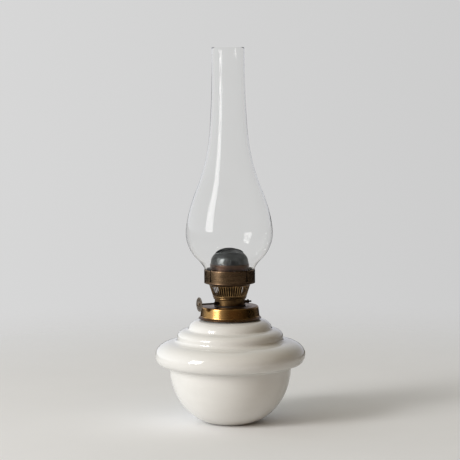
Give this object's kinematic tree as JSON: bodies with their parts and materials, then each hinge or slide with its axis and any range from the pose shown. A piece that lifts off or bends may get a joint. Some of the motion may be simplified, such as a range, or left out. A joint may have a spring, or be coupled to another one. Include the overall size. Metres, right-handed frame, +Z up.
{
  "type": "oil lamp",
  "caption": "Flat-wick paraffin lamp: opal glass drop-in font with a brass collar, screw-in burner with a knob-wound wick, slotted dome and clear waisted chimney.",
  "frame": {"origin": "centre of the font's foot, on the surface the lamp stands on", "axes": "+Z up along the common axis of font, burner and chimney; the winder's shaft runs along X with its knob at -X; +Y is away from the side on which the shaft passes the wick"},
  "size_m": [0.1518, 0.1518, 0.378],
  "materials": {
    "opal_glass": "opaque white pressed glass, fire-polished gloss",
    "clear_glass": "thin clear blown glass with slight waves",
    "collar_brass": "spun brass, handled bright on the wall and dark at the flange",
    "burner_brass": "stamped sheet brass, aged brown",
    "basket_brass": "pierced sheet brass, golden bars on a dark ground",
    "gallery_brass": "rolled sheet brass, dull olive brown",
    "dome_metal": "heat-blackened spun brass with a blue-grey film",
    "dome_ring_metal": "heat-reddened spun brass",
    "shaft_steel": "drawn steel wire, oxidised dark",
    "knob_brass": "stamped disc, dull grey brown",
    "plaster": "set plaster, matt",
    "washer_leather": "oil-soaked leather, matt",
    "wick_cotton": "flat woven cotton tape, oil-stained"
  },
  "bodies": {
    "font": {"font": "opal_glass", "plaster_ring": "plaster", "collar_shell": "collar_brass", "collar_thread_ring": "collar_brass"},
    "washer": {"burner_washer": "washer_leather"},
    "burner": {"burner_base": "burner_brass", "burner_floor": "burner_brass", "burner_cup": "burner_brass", "air_basket": "basket_brass", "gallery": "gallery_brass", "diffuser_plate": "burner_brass", "wick_tube": "burner_brass", "vent_tube": "burner_brass", "shaft_bush_left": "burner_brass", "shaft_bush_right": "burner_brass"},
    "winder": {"winder_shaft": "shaft_steel", "spur_wheel_left": "burner_brass", "spur_wheel_right": "burner_brass", "winder_knob": "knob_brass", "knob_boss": "knob_brass", "shaft_clip": "shaft_steel"},
    "wick": {"wick": "wick_cotton"},
    "dome": {"dome": "dome_metal", "dome_ring": "dome_ring_metal"},
    "chimney": {"chimney": "clear_glass"}
  },
  "joints": [
    {"name": "burner_lift", "type": "slide", "parent": "font", "child": "washer", "axis": [0, 0, 1], "range_m": [0, 0.0075]},
    {"name": "burner_unscrew", "type": "hinge", "parent": "washer", "child": "burner", "pos_m": [0, 0, 0.1186], "axis": [0, 0, 1], "range_deg": [0, 1440]},
    {"name": "winder_turn", "type": "hinge", "parent": "burner", "child": "winder", "pos_m": [0, -0.0046, 0.1223], "axis": [1, 0, 0], "range_deg": [-200, 95]},
    {"name": "wick_slide", "type": "slide", "parent": "burner", "child": "wick", "axis": [0, 0, 1], "range_m": [-0.0115, 0.0055]},
    {"name": "dome_lift", "type": "slide", "parent": "burner", "child": "dome", "axis": [0, 0, 1], "range_m": [0, 0.038]},
    {"name": "chimney_lift", "type": "slide", "parent": "burner", "child": "chimney", "axis": [0, 0, 1], "range_m": [0, 0.06]}
  ],
  "couplings": [
    {"joint": "burner_lift", "follows": "burner_unscrew", "m_per_rad": 0.00028648},
    {"joint": "winder_turn", "follows": "wick_slide", "rad_per_m": 294.12}
  ]
}
